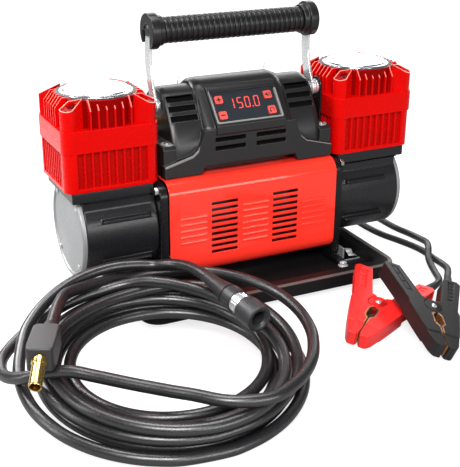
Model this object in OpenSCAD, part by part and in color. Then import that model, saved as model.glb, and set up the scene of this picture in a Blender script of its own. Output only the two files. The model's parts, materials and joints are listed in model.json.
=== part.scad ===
// Twin stack compressor: one motor between two upright cylinders,
// on a steel tray, with a folding handle, battery leads and an air hose.
// X runs along the shaft, the control panel faces -Y, Z is up, floor at Z = 0.

/* [Machine] */
// Height of the motor and crank shaft above the floor
shaft_z = 71.5; // [71:0.5:75]
// Distance from the centre to each cylinder axis
head_x = 141; // [140:0.5:143]
// Width of the head band, along the shaft
head_w = 93; // [90:0.5:93]
// Depth of the head band, front to back
head_d = 84; // [80:1:88]

/* [Crank train] */
// Offset of the crank pin from the shaft
throw = 6; // [4:0.5:6]
// Outer radius of a piston
piston_r = 25; // [22:0.5:25]
// Wall of a cylinder sleeve
sleeve_wall = 2.95; // [2:0.05:4]
// Radius of the motor shaft
shaft_r = 5; // [4:0.5:6]

/* [Base] */
// Length of the tray
tray_l = 275; // [260:1:300]
// Depth of the tray
tray_w = 214; // [200:1:230]
// Width of the raised tray rim
rim_w = 16; // [12:1:18]
// Height of the rubber feet
foot_h = 6; // [4:1:8]

/* [Controls] */
// Side of a square key
key_size = 8.4; // [7:0.1:9]
// Key travel
key_travel = 0.6; // [0.4:0.1:0.8]

/* [Handle] */
// Height of the grip axis
grip_z = 252; // [245:1:260]
// Radius of the rubber grip
grip_r = 12.5; // [11:0.5:14]
// Half the length of the rubber grip
grip_half = 74; // [70:1:74]

/* [Hose and leads] */
// Outer diameter of the air hose
hose_d = 10; // [9:0.5:11]
// Outer diameter of a battery lead
lead_d = 7; // [6:0.5:7]

/* [Hidden] */
$fn = 64;

both = [-1, 1];
black = [0.10, 0.10, 0.11];
red = [0.82, 0.04, 0.03];
steel = [0.72, 0.73, 0.75];

// Heights of the stack
tray_z = foot_h;                      // underside of the tray
rim_h = 13;                           // height of the tray rim
floor_t = 2;                          // tray sheet
tray_top = tray_z + floor_t;          // where the machine stands
block_z = 119.5;                      // underside of the finned cylinder
band_z = 157;                         // underside of the head band
band_top = 178;
shoulder_z = 195;                     // where the head chamfer starts
head_top = 205;
corner_r = 10;                        // upright corners of the head
block_w = head_w - 2;
block_d = head_d - 2;
sleeve_r = piston_r + 0.05 + sleeve_wall;
disc_r = 36;                          // opening in the top of the head

// Side plates, covers and motor
plate_x = 91.7;                       // inner face of a side plate
plate_t = 8.3;
case_x = plate_x + plate_t;           // inner face of a crankcase
cover_x = 91.4;                       // half length of the covers
cover_y = 53;
cover_top = 120;
cover_bottom = 22;
cover_t = 1.6;
can_r = 44;
bearing_r = 13;

// Crankcase
drum_r = 47.5;
drum_wall = 4;
drum_end = 171.5;                     // where the end cap sits
flange_z = 108.5;                     // underside of the cylinder flange
cap_screw_r = 41;                     // circle of the end cap screws

// Control panel: the window lies on a slope through panel_c
panel_c = [0, -27.8, 180.4];
panel_tilt = 49.7;                    // slope of the window from level
window_w = 68;
window_h = 32;
window_t = 2;
key_u = 26.4;
key_v = 8.2;

// Air path
pipe_y = 19;                          // pipes from the heads to the manifold
pipe_z = 161;
outlet_z = 138;
plug_r = 5.9;                         // outlet plug that the hose socket fits

// Handle
pivot_y = -5;
pivot_z = 184;
arm_x = 84;
arm_t = 2.5;
grip_y = 4;
cap_end = 88.5;                       // outer face of a grip cap

// Free cords: route points in mm, chosen by hand
red_start = [
    [24, 70, 34], [24, 88, 33], [24, 104, 28], [22, 116, 18.5], [16, 126, 9.5], [4, 133, 4.8], [-12, 136, 3.6]
];
red_end = [
    [0, 225, 18], [14, 227, 16.5], [38, 232, 9.5], [70, 238, 4], [110, 239, 3.6], [148, 230, 3.6],
    [178, 208, 3.6], [197, 175, 3.6], [208, 135, 3.6], [212, 95, 3.6], [211, 60, 3.6], [211, 29, 3.6],
    [212, 5, 3.6], [216, -17, 3.6], [214, -42, 6.5], [207, -60, 10.8], [198, -75, 11.5], [187, -90, 9],
    [180.5, -104, 7], [174.5, -119, 6], [167.5, -134, 7], [156.8, -147, 10.3], [142.7, -156.3, 12.2],
    [128.6, -162.5, 12]
];
black_start = [
    [36, 70, 34], [36, 88, 33], [37, 104, 28], [42, 116, 18.5], [52, 125, 9.5], [66, 130, 4.8],
    [96, 133.5, 3.6]
];
black_end = [
    [110, 135, 18], [122, 135.5, 17.5], [138, 134, 13], [154, 128, 7], [168, 115, 4], [179, 92, 3.6],
    [183, 60, 3.6], [183, 25, 3.6], [186, -3, 3.6], [194, -30, 3.6], [199, -51, 3.6], [200, -68, 3.6],
    [198, -86, 4], [194.5, -104, 6], [187.5, -121, 9.5], [176.5, -136.5, 13.3], [164.2, -151, 16.3],
    [156.4, -161.1, 17.8], [147.9, -171.4, 18]
];
hose_start_route = [
    [-122, -84, 57], [-110, -100, 62], [-102, -118, 65.5], [-98, -136, 66.5], [-96, -152, 66]
];
hose_end_route = [[-247, -178, 60], [-237, -156, 61.5], [-225, -133, 62.5], [-208, -108, 58]];
coil_r = 38;                          // mean radius of a lead coil
coil_half = 11;                       // half the width of the bundle
red_coil_at = [0, 180, 0];
black_coil_at = [110, 180, 0];
hose_coil_at = [-155, -315, 0];       // the coil tips up from this point onto the tray
hose_coil_tilt = 5.6;
hose_inner = 72;
hose_outer = 123;
hose_pile = 38;

// Battery clamps: place of the jaw tip, and turn, pitch and roll
red_clamp_pose = [[19, -212, 9.1], 39, 3.8, 9];
black_clamp_pose = [[74, -266, 10.2], 66, 9, 20];
clamp_t = 15;
clamp_pivot = 60;
pin_r = 2;

// ---------- helpers ----------

module rounded_rect(w, d, r) {
    square([w - 2 * r, d], center = true);
    square([w, d - 2 * r], center = true);
    for (x = both, y = both) translate([x * (w / 2 - r), y * (d / 2 - r)]) circle(r);
}

module rounded_block(w, d, r, z0, z1) {
    translate([0, 0, z0]) linear_extrude(z1 - z0) rounded_rect(w, d, r);
}

// A profile drawn as [y, z], extruded along X from x0 to x1
module along_x(x0, x1) {
    translate([x0, 0, 0]) rotate([90, 0, 90]) linear_extrude(x1 - x0) children();
}

module rod_x(r, x0, x1) {
    translate([x0, 0, 0]) rotate([0, 90, 0]) cylinder(r = r, h = x1 - x0);
}

module hex_bolt(shank_r, shank_l, head_r, head_h) {
    cylinder(r = head_r, h = head_h, $fn = 6);
    translate([0, 0, -shank_l]) cylinder(r = shank_r, h = shank_l);
}

module at_panel() {
    translate(panel_c) rotate([panel_tilt, 0, 0]) children();
}

function unit(v) = v / norm(v);
function heading(p, i) = unit(p[min(i + 1, len(p) - 1)] - p[max(i - 1, 0)]);
function side(t) = unit(cross(t, abs(t.z) > 0.9 ? [1, 0, 0] : [0, 0, 1]));
function ring(p, i, r, n) =
    let(t = heading(p, i), s = side(t), u = cross(s, t))
    [for (k = [0:n - 1]) p[i] + r * (cos(360 * k / n) * s + sin(360 * k / n) * u)];

// One closed tube swept along a list of points
module tube(p, r, n = 8) {
    m = len(p);
    rings = [for (i = [0:m - 1]) each ring(p, i, r, n)];
    walls = [for (i = [0:m - 2], k = [0:n - 1])
        let(a = i * n + k, b = i * n + (k + 1) % n)
        each [[a, b, b + n], [a, b + n, a + n]]];
    first = [for (k = [1:n - 2]) [0, k + 1, k]];
    last = [for (k = [1:n - 2]) [0, k, k + 1] + (m - 1) * n * [1, 1, 1]];
    polyhedron(rings, concat(first, walls, last), convexity = 4);
}

// ---------- base ----------

module base_tray() {
    color(black) {
        difference() {
            rounded_block(tray_l, tray_w, 18, tray_z, tray_z + rim_h);
            rounded_block(tray_l - 2 * rim_w, tray_w - 2 * rim_w, 8, tray_z - 1, tray_z + rim_h + 1);
            difference() {
                rounded_block(tray_l - 4, tray_w - 4, 16, tray_z - 1, tray_z + rim_h - 2);
                rounded_block(tray_l - 2 * rim_w + 4, tray_w - 2 * rim_w + 4, 10, tray_z - 2, tray_z + rim_h);
            }
        }
        difference() {
            rounded_block(tray_l - 2 * rim_w + 1, tray_w - 2 * rim_w + 1, 8, tray_z, tray_top);
            for (x = both, y = both) translate([x * 95, y * 68, 0]) cylinder(r = 2.6, h = 20);
            for (s = both, y = both) translate([s * 111, y * 50, 0]) cylinder(r = 3.1, h = 20);
        }
    }
}

module rubber_feet() {
    color([0.06, 0.06, 0.06])
    for (x = both, y = both) translate([x * 95, y * 68, 0]) difference() {
        cylinder(r = 10, h = foot_h);
        translate([0, 0, 2.5]) cylinder(r = 2.5, h = foot_h);
    }
}

module mount_brackets() {
    color(steel)
    for (s = both, y = both) mirrored(s) {
        difference() {
            union() {
                translate([case_x, y * 50 - 9, tray_top]) cube([21, 18, 2]);
                translate([case_x, y * 50 - 9, tray_top]) cube([2, 18, 14]);
            }
            translate([111, y * 50, 0]) cylinder(r = 3.1, h = 20);
        }
    }
}

// Mirrors its children to the left-hand side when s is -1
module mirrored(s) {
    if (s < 0) mirror([1, 0, 0]) children();
    else children();
}

module base_bolts() {
    color(steel) {
        for (s = both, y = both) translate([s * 111, y * 50, tray_top + 2]) {
            difference() {
                cylinder(r = 7, h = 1.2);
                translate([0, 0, -1]) cylinder(r = 3, h = 4);
            }
            translate([0, 0, 1.2]) hex_bolt(3, 5.2, 5.5, 3.6);
        }
        for (x = both, y = both) translate([x * 95, y * 68, tray_top])
            hex_bolt(2.5, 5, 4.5, 3);
    }
}

// ---------- motor ----------

module plate_profile() {
    translate([0, (117 + tray_top) / 2]) rounded_rect(102, 117 - tray_top, 13);
    translate([-63, tray_top]) square([126, 5]);
}

module side_plates() {
    color([0.16, 0.16, 0.17])
    for (s = both) mirrored(s) difference() {
        union() {
            along_x(plate_x, case_x) plate_profile();
            along_x(plate_x, plate_x + 2.2) {
                translate([-14, 110]) square([20, pivot_z - 110]);
                translate([pivot_y + 1, pivot_z]) circle(10);
            }
        }
        translate([0, 0, shaft_z]) rod_x(bearing_r, plate_x - 1, case_x + 1);
        translate([0, pivot_y, pivot_z]) rod_x(3, plate_x - 1, plate_x + 5);
    }
}

module cover_section(grow) {
    z0 = cover_bottom - grow;
    z1 = cover_top + grow;
    r = 15 + grow;
    y = cover_y + grow;
    difference() {
        translate([0, (z0 + z1) / 2]) rounded_rect(2 * y, z1 - z0, r);
        translate([-4, z0 - 1]) square([y + 10, z1 - z0 + 2]);
    }
}

module slot_rows(x, z, rows, depth, height) {
    for (i = [0:rows - 1])
        translate([x - 14, -cover_y - depth, z - i * 6.25 - height / 2]) cube([28, 2 * depth, height]);
}

module cover() {
    difference() {
        union() {
            difference() {
                along_x(-cover_x, cover_x) cover_section(0);
                along_x(-cover_x - 1, cover_x + 1) cover_section(-cover_t);
            }
            for (c = [[-67, 83, 5], [-0.5, 88, 7], [66, 81, 5]]) slot_rows(c[0], c[1], c[2], 0.4, 2.6);
        }
        for (x = [-33.7, 33]) slot_rows(x, 94, 9, 3, 3);
    }
}

module front_cover() {
    color(red) cover();
}

module rear_cover() {
    color(red) rotate([0, 0, 180]) cover();
}

module motor_can() {
    color([0.25, 0.25, 0.27]) translate([0, 0, shaft_z]) difference() {
        rod_x(can_r, -plate_x, plate_x);
        rod_x(can_r - 3, -plate_x - 1, plate_x + 1);
    }
}

module magnets() {
    color([0.3, 0.3, 0.3]) translate([0, 0, shaft_z])
    for (a = [0, 180]) rotate([a, 0, 0]) difference() {
        rod_x(can_r - 3, -46, 46);
        rod_x(36.4, -47, 47);
        translate([-50, -60, -60]) cube([100, 120, 72]);
    }
}

module brush_gear() {
    color([0.35, 0.2, 0.1]) translate([0, 0, shaft_z]) {
        difference() {
            rod_x(can_r - 3, 78, 80);
            rod_x(16, 77, 81);
        }
        for (s = both) translate([58, s > 0 ? 13.4 : -25.4, -4]) cube([20, 12, 8]);
    }
}

module main_bearings() {
    color(steel) translate([0, 0, shaft_z])
    for (s = both) mirrored(s) difference() {
        rod_x(bearing_r, plate_x, case_x - 0.5);
        rod_x(shaft_r + 0.03, plate_x - 1, case_x + 1);
    }
}

module motor_shaft() {
    color(steel) translate([0, 0, shaft_z]) rod_x(shaft_r, -131, 131);
}

module armature() {
    color([0.6, 0.35, 0.2]) translate([0, 0, shaft_z]) difference() {
        union() {
            difference() {
                rod_x(35.8, -42, 42);
                for (i = [0:11]) rotate([i * 30, 0, 0]) translate([-43, -1.5, 24]) cube([86, 3, 14]);
            }
            rod_x(29, -52, 52);
            rod_x(13, 52, 76);
        }
        rod_x(shaft_r, -60, 80);
    }
}

// ---------- crank train ----------

module crank() {
    difference() {
        union() {
            rod_x(15, 123, 131);
            intersection() {
                rod_x(28, 123, 131);
                translate([120, -40, 2]) cube([20, 80, 40]);
            }
        }
        rod_x(shaft_r, 120, 131.1);
    }
    translate([0, 0, -throw]) rod_x(4, 131, 148);
}

module cranks() {
    color([0.45, 0.45, 0.48]) translate([0, 0, shaft_z]) for (s = both) mirrored(s) crank();
}

module rod() {
    pin_z = shaft_z - throw;
    top_z = 119;
    difference() {
        union() {
            translate([0, 0, pin_z]) rod_x(11, 136, 146);
            translate([136.5, -5, pin_z + 6]) cube([9, 10, top_z - pin_z - 6]);
            translate([0, 0, top_z]) rod_x(7, 136, 146);
        }
        translate([0, 0, pin_z]) rod_x(4.05, 130, 150);
        translate([0, 0, top_z]) rod_x(3.5, 130, 150);
    }
    translate([0, 0, top_z]) rod_x(3.5, head_x - 11, head_x + 11);
}

module left_rod() {
    color([0.7, 0.7, 0.72]) mirrored(-1) rod();
}

module right_rod() {
    color([0.7, 0.7, 0.72]) rod();
}

module piston() {
    translate([head_x, 0, 118.5]) difference() {
        cylinder(r = piston_r, h = 26);
        translate([0, 0, -1]) cylinder(r = piston_r - 4, h = 23);
    }
}

module left_piston() {
    color([0.75, 0.75, 0.77]) mirrored(-1) piston();
}

module right_piston() {
    color([0.75, 0.75, 0.77]) piston();
}

// ---------- crankcases and stacks ----------

module crankcase() {
    difference() {
        union() {
            translate([0, 0, shaft_z]) rod_x(drum_r, case_x, drum_end);
            translate([case_x, -38, shaft_z]) cube([drum_end - case_x, 76, flange_z - shaft_z]);
            translate([101, -39, flange_z]) cube([80, 78, block_z - flange_z]);
            for (y = both, z = [50, 91]) translate([108, y * 45.5 - 3, z - 2]) cube([47, 6, 3]);
        }
        translate([0, 0, shaft_z]) rod_x(drum_r - drum_wall, case_x + drum_wall, drum_end + 5);
        translate([0, 0, shaft_z]) rod_x(14, case_x - 1, 110);
        translate([head_x, 0, shaft_z]) cylinder(r = sleeve_r, h = 60);
    }
}

module left_crankcase() {
    color(black) mirrored(-1) crankcase();
}

module right_crankcase() {
    color(black) crankcase();
}

module end_caps() {
    color([0.6, 0.6, 0.61])
    for (s = both) mirrored(s) difference() {
        union() {
            translate([0, 0, shaft_z]) rod_x(drum_r, drum_end, 174.5);
            along_x(173.5, 176) translate([0, shaft_z]) difference() {
                circle(drum_r);
                circle(drum_r - 4);
            }
        }
        for (a = [45:90:315]) translate([0, cap_screw_r * cos(a), shaft_z + cap_screw_r * sin(a)])
            rod_x(1.6, 170, 180);
        translate([drum_end - 1, -drum_r, flange_z]) cube([10, 2 * drum_r, 20]);
    }
}

module case_screws() {
    color(steel)
    for (s = both) mirrored(s) {
        for (a = [45:90:315]) translate([174.5, cap_screw_r * cos(a), shaft_z + cap_screw_r * sin(a)]) {
            rod_x(2.3, 0, 1.4);
            rod_x(1.6, -3, 0);
        }
        for (y = both) translate([case_x, y * 44, 112]) rotate([0, 90, 0]) cylinder(r = 4, h = 3.6, $fn = 6);
        translate([84, -30, 152]) cylinder(r = 3, h = 1.6);
    }
}

module fins(half_w, half_d, xs, ys, t, z0, z1) {
    for (x = xs) translate([x - t / 2, -half_d, z0]) cube([t, 2 * half_d, z1 - z0]);
    for (y = ys) translate([-half_w, y - t / 2, z0]) cube([2 * half_w, t, z1 - z0]);
}

module cylinder_block() {
    difference() {
        union() {
            rounded_block(block_w, block_d, corner_r, block_z, block_z + 3.5);
            rounded_block(72, 63, 8, block_z, band_z);
            for (x = both, y = both) translate([x * (block_w / 2 - 10.5), y * (block_d / 2 - 10.5), 0])
                rounded_block(21, 21, corner_r, block_z, band_z);
            fins(block_w / 2, block_d / 2 - 0.5, [for (i = [-3.5:3.5]) i * 6.4], [-17:6.8:17], 2.6,
                block_z, band_z);
        }
        translate([0, 0, block_z - 1]) cylinder(r = sleeve_r, h = 60);
    }
}

module left_cylinder() {
    color(red) translate([-head_x, 0, 0]) cylinder_block();
}

module right_cylinder() {
    color(red) translate([head_x, 0, 0]) cylinder_block();
}

module cylinder_sleeves() {
    color([0.6, 0.6, 0.62])
    for (s = both) translate([s * head_x, 0, 105]) difference() {
        cylinder(r = sleeve_r, h = band_z - 105);
        translate([0, 0, -1]) cylinder(r = piston_r + 0.05, h = 80);
    }
}

module valve_plates() {
    color(steel)
    for (s = both) translate([s * head_x, 0, band_z]) difference() {
        cylinder(r = 31, h = 4);
        for (x = both) translate([x * 10, 0, -1]) cylinder(r = 3, h = 6);
    }
}

module chamfer_fin(half, t) {
    rotate([90, 0, 90]) translate([0, 0, -t / 2]) linear_extrude(t)
        polygon([[-half, band_top - 1], [half, band_top - 1], [half, shoulder_z],
            [half - 8, head_top - 1], [8 - half, head_top - 1], [-half, shoulder_z]]);
}

module head_post() {
    hull() {
        translate([0, 0, band_top - 1]) linear_extrude(shoulder_z + 2 - band_top)
            translate([block_w / 2 - 8.5, block_d / 2 - 8.5]) rounded_rect(17, 17, 6);
        translate([24, 24, head_top - 1.5]) cube([11, 11, 1]);
    }
}

module head() {
    difference() {
        union() {
            rounded_block(head_w, head_d, corner_r, band_z, band_top);
            rounded_block(74, 65, 8, band_top - 1, shoulder_z + 3);
            translate([0, 0, band_top - 1]) cylinder(r = disc_r + 2, h = head_top - band_top + 1);
            for (i = [-2.5:2.5]) translate([i * 7.7, 0, 0]) chamfer_fin(block_d / 2, 2);
            for (y = [-16, -8, 0, 8, 16]) translate([0, y, 0]) rotate([0, 0, 90]) chamfer_fin(block_w / 2, 2);
            for (x = [0, 1], y = [0, 1]) mirror([x, 0, 0]) mirror([0, y, 0]) head_post();
        }
        translate([0, 0, band_z - 1]) cylinder(r = 31, h = 30);
        translate([0, 0, 199]) cylinder(r = disc_r, h = 10);
        for (x = both, y = both) translate([x * 33, y * 29.5, 190]) cylinder(r = 3.4, h = 20);
    }
}

module left_head() {
    color(red) translate([-head_x, 0, 0]) head();
}

module right_head() {
    color(red) translate([head_x, 0, 0]) head();
}

module head_discs() {
    color([0.85, 0.86, 0.88])
    for (s = both) translate([s * head_x, 0, 199]) {
        cylinder(r = disc_r, h = 5);
        translate([0, 0, 5]) cylinder(r = disc_r - 4, h = 1.2);
    }
}

module head_screws() {
    color([0.3, 0.3, 0.32])
    for (s = both, x = both, y = both) translate([s * head_x + x * 33, y * 29.5, 190]) difference() {
        cylinder(r = 3.4, h = 4);
        translate([0, 0, 2]) cylinder(r = 1.6, h = 3, $fn = 6);
    }
}

// ---------- control housing ----------

module centre_profile() {
    polygon([[-39.5, 127], [-39.5, 158], [-42, 161], [-42, 166.5], [-40, 168.5], [-16, 196.5], [-8, 201.5],
        [2, 203.5], [18, 201], [34, 192], [43, 172], [44, 120], [-30, 120], [-30, 127]]);
}

module wing_profile() {
    polygon([[-37, 127], [-37, 152], [-29, 168], [-15, 190], [-8, 196], [0, 198.5], [15, 197], [32, 189],
        [42, 168], [43, 121], [-25, 121]]);
}

module skirt_profile() {
    polygon([[-40, 120.5], [-40, 145], [-36, 152], [43, 152], [43, 120.5]]);
}

module control_housing() {
    color(black) difference() {
        union() {
            along_x(-39, 39) centre_profile();
            along_x(-80, 80) wing_profile();
            along_x(-91.2, 91.2) skirt_profile();
        }
        along_x(-36.5, 36.5) offset(delta = -2.5) centre_profile();
        along_x(-77.5, 77.5) offset(delta = -2.5) wing_profile();
        along_x(-77.5, 77.5) translate([-34, 110]) square([74, 40]);
        for (s = both) translate([s * 84.5 - 5, -37, 110]) cube([10, 77, 39.5]);
        translate([-52, -60, 110]) cube([104, 30, 17]);
        at_panel() cube([window_w, window_h, 12], center = true);
        for (s = both, i = [0:2]) translate([s > 0 ? 48 : -73, -60, 171 + i * 8.2]) cube([25, 58, 4.6]);
        for (s = both, z = [144.5, 153]) translate([s > 0 ? 6 : -38, -60, z - 1.8]) cube([32, 30, 3.6]);
        translate([0, pipe_y, pipe_z]) rod_x(4.4, -100, 100);
        translate([0, 30, outlet_z]) rotate([-90, 0, 0]) cylinder(r = 9, h = 20);
    }
}

module key_centres() {
    for (u = both, v = both) translate([u * key_u, v * key_v, 0]) children();
}

module display_window() {
    color([0.03, 0.03, 0.04]) at_panel() difference() {
        translate([-window_w / 2 + 0.1, -window_h / 2 + 0.1, -3])
            cube([window_w - 0.2, window_h - 0.2, window_t]);
        key_centres() cube([key_size + 0.7, key_size + 0.7, 20], center = true);
    }
}

module display_board() {
    color([0.05, 0.3, 0.12]) at_panel() translate([-31, -14.5, -8]) cube([62, 29, 1.6]);
}

module key(u, v) {
    color([0.95, 0.3, 0.24]) at_panel() translate([u * key_u, v * key_v, 0]) {
        translate([-key_size / 2, -key_size / 2, -4]) cube([key_size, key_size, 4]);
        translate([0, 0, -5.4]) cylinder(r = 1.5, h = 2);
    }
}

module plus_key() {
    key(-1, 1);
}

module minus_key() {
    key(-1, -1);
}

module light_key() {
    key(1, 1);
}

module reset_key() {
    key(1, -1);
}

module air_manifold() {
    color([0.7, 0.55, 0.25]) {
        translate([-18, 8, 128]) cube([36, 22, 38]);
        translate([0, pipe_y, pipe_z]) for (s = both) mirrored(s) rod_x(4, 18, 94.4);
    }
}

module outlet_coupler() {
    color([0.75, 0.6, 0.25]) translate([0, 30, outlet_z]) rotate([-90, 0, 0]) difference() {
        union() {
            cylinder(r = 7, h = 16);
            translate([0, 0, 14.5]) cylinder(r = 11, h = 5.5, $fn = 6);
            translate([0, 0, 20]) cylinder(r = plug_r, h = 18);
        }
        translate([0, 0, 10]) cylinder(r = 2.5, h = 30);
    }
}

module cable_gland() {
    color([0.07, 0.07, 0.07])
    for (x = [24, 36]) translate([x, cover_y, 34]) rotate([-90, 0, 0]) rotate_extrude()
        polygon([[0, 0], [5.8, 0], [5.8, 4], [4.6, 5], [3.6, 17], [0, 17]]);
}

// ---------- handle ----------

module handle_pivots() {
    color([0.85, 0.85, 0.87])
    for (s = both) mirrored(s) translate([0, pivot_y, pivot_z]) {
        translate([81, 0, 0]) rotate([0, 90, 0]) cylinder(r = 5.5, h = 2.7, $fn = 6);
        rod_x(3, 83.7, plate_x + 2.2);
        for (x = [86.8, 89.3]) difference() {
            rod_x(7.5, x, x + 2);
            rod_x(3, x - 1, x + 3);
        }
    }
}

// Centre line of an arm in the YZ plane, bowed towards the back
function arm_line(k) = let(f = k / 10)
    [pivot_y + (grip_y - pivot_y) * f + 8 * sin(180 * f), pivot_z + (grip_z - pivot_z) * f];

module arm_profile() {
    for (k = [0:9]) {
        a = arm_line(k);
        b = arm_line(k + 1);
        d = (b - a) / norm(b - a);
        w = [-d[1], d[0]] * 6.5;
        polygon([a + w - d * 0.3, a - w - d * 0.3, b - w + d * 0.3, b + w + d * 0.3]);
    }
    translate(arm_line(0)) circle(8);
    translate(arm_line(10)) circle(6.5);
}

module handle_arms() {
    color([0.88, 0.88, 0.9])
    for (s = both) mirrored(s) difference() {
        along_x(arm_x, arm_x + arm_t) arm_profile();
        translate([0, pivot_y, pivot_z]) rod_x(3.05, arm_x - 1, arm_x + 5);
    }
}

module handle_grip() {
    pitch = 2 * grip_half / 27;
    color([0.06, 0.06, 0.06]) translate([0, grip_y, grip_z]) difference() {
        rod_x(grip_r, -grip_half, grip_half);
        rod_x(5, -grip_half - 1, grip_half + 1);
        for (i = [1:26]) translate([-grip_half + i * pitch - 0.6, 0, 0]) difference() {
            rod_x(grip_r + 1, 0, 1.2);
            rod_x(grip_r - 1.1, -1, 3);
        }
    }
}

module grip_caps() {
    color(black)
    for (s = both) mirrored(s) translate([0, grip_y, grip_z]) {
        difference() {
            union() {
                rod_x(14.2, grip_half, 80);
                rod_x(17, 79.4, cap_end);
            }
            rod_x(6.8, arm_x - 0.1, 94);
            translate([arm_x - 0.1, -6.8, -20]) cube([20, 18.3, 20]);
        }
        rod_x(5, 40, grip_half);
        translate([arm_x + arm_t, 0, 0]) rod_x(4.8, 0, 1.8);
    }
}

// ---------- leads, clamps and hose ----------

module lead(route) {
    color(black) tube(route, lead_d / 2);
}

module bundle_ring(inner, outer, height, r) {
    rotate_extrude() translate([(inner + outer) / 2, height / 2]) rounded_rect(outer - inner, height, r);
}

module lead_coil(place) {
    color(black) translate(place) bundle_ring(coil_r - coil_half, coil_r + coil_half, 2 * coil_half, 5);
}

module red_lead_start() {
    lead(red_start);
}

module red_lead_coil() {
    lead_coil(red_coil_at);
}

module red_lead_end() {
    lead(red_end);
}

module black_lead_start() {
    lead(black_start);
}

module black_lead_coil() {
    lead_coil(black_coil_at);
}

module black_lead_end() {
    lead(black_end);
}

module at_clamp(pose) {
    translate(pose[0]) rotate([0, 0, pose[1]]) rotate([0, -pose[2], 0]) rotate([pose[3], 0, 0]) children();
}

module clamp_bar() {
    translate([0, 0, -clamp_t / 2]) linear_extrude(clamp_t)
        polygon([[0, 2], [0, 8], [6, 12.5], [60, 27], [112, 41], [117, 38], [116, 23], [70, 12], [60, 10],
            [46, 8], [34, 4.5], [28, 0.6], [3, 0.6]]);
}

module clamp_lug(z0, z1) {
    translate([clamp_pivot, 0, z0]) difference() {
        union() {
            cylinder(r = 6.5, h = z1 - z0);
            translate([-5.5, 0, 0]) cube([11, 13, z1 - z0]);
        }
        translate([0, 0, -1]) cylinder(r = pin_r + 0.05, h = 20);
    }
}

module clamp_jaw() {
    clamp_bar();
    clamp_lug(0.3, 2.5);
}

module clamp_fixed() {
    mirror([0, 1, 0]) {
        clamp_bar();
        clamp_lug(2.8, clamp_t / 2);
        clamp_lug(-clamp_t / 2, -2.8);
    }
}

module red_clamp_fixed() {
    color(red) at_clamp(red_clamp_pose) clamp_fixed();
}

module red_clamp_jaw() {
    color(red) at_clamp(red_clamp_pose) clamp_jaw();
}

module black_clamp_fixed() {
    color(black) at_clamp(black_clamp_pose) clamp_fixed();
}

module black_clamp_jaw() {
    color(black) at_clamp(black_clamp_pose) clamp_jaw();
}

module clamp_pivots() {
    color(steel)
    for (pose = [red_clamp_pose, black_clamp_pose]) at_clamp(pose) translate([clamp_pivot, 0, 0]) {
        translate([0, 0, -clamp_t / 2 - 1]) cylinder(r = pin_r, h = clamp_t + 2);
        for (z = [-clamp_t / 2 - 1, clamp_t / 2]) translate([0, 0, z]) cylinder(r = 3.6, h = 1);
        translate([0, 0, -2.5]) difference() {
            cylinder(r = 5.5, h = 2.3);
            translate([0, 0, -1]) cylinder(r = pin_r, h = 5);
        }
    }
}

module hose_coil() {
    color(black) translate(hose_coil_at) rotate([hose_coil_tilt, 0, 0]) translate([0, hose_outer, 0])
        bundle_ring(hose_inner, hose_outer, hose_pile, 6);
}

module hose_start() {
    color(black) tube(hose_start_route, hose_d / 2);
}

module hose_end() {
    color(black) tube(hose_end_route, hose_d / 2);
}

module hose_connector() {
    color([0.12, 0.12, 0.12]) translate([-96, -152, 66]) rotate([0, 0, -82]) rotate([0, 5.6, 0])
        rotate([0, 90, 0]) difference() {
            union() {
                cylinder(r = 6.5, h = 18);
                translate([0, 0, 18]) cylinder(r = 8, h = 30);
                translate([0, 0, 46]) cylinder(r = 10, h = 28);
            }
            translate([0, 0, 56]) cylinder(r = 6, h = 20);
        }
}

module tyre_chuck() {
    color([0.12, 0.12, 0.12]) translate([-258, -200, 61.8]) rotate([0, 0, -115]) {
        translate([-21, -11, -9.8]) cube([42, 22, 19.6]);
        translate([20, 0, 0]) rotate([0, 110, 0]) difference() {
            cylinder(r = 5.2, h = 26);
            translate([0, 0, 12]) cylinder(r = 3.9, h = 20);
        }
    }
}

base_tray();
rubber_feet();
mount_brackets();
base_bolts();
side_plates();
front_cover();
rear_cover();
motor_can();
magnets();
brush_gear();
main_bearings();
left_crankcase();
right_crankcase();
end_caps();
case_screws();
left_cylinder();
right_cylinder();
cylinder_sleeves();
valve_plates();
left_head();
right_head();
head_discs();
head_screws();
control_housing();
display_window();
display_board();
plus_key();
minus_key();
light_key();
reset_key();
handle_pivots();
air_manifold();
outlet_coupler();
cable_gland();
handle_arms();
handle_grip();
grip_caps();
motor_shaft();
armature();
cranks();
left_rod();
right_rod();
left_piston();
right_piston();
red_lead_start();
red_lead_coil();
red_lead_end();
black_lead_start();
black_lead_coil();
black_lead_end();
red_clamp_fixed();
red_clamp_jaw();
black_clamp_fixed();
black_clamp_jaw();
clamp_pivots();
hose_coil();
hose_start();
hose_end();
hose_connector();
tyre_chuck();
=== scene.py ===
"""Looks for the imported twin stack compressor.

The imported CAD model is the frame. Cords, clamps, fittings, the panel and the castings are
built here in metres, in the frame's own coordinates: X along the shaft, -Y out of the panel,
Z up, floor at Z = 0.
"""
import json
from math import cos, pi, radians, sin

import bmesh
import bpy
from mathutils import Matrix, Vector


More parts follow.
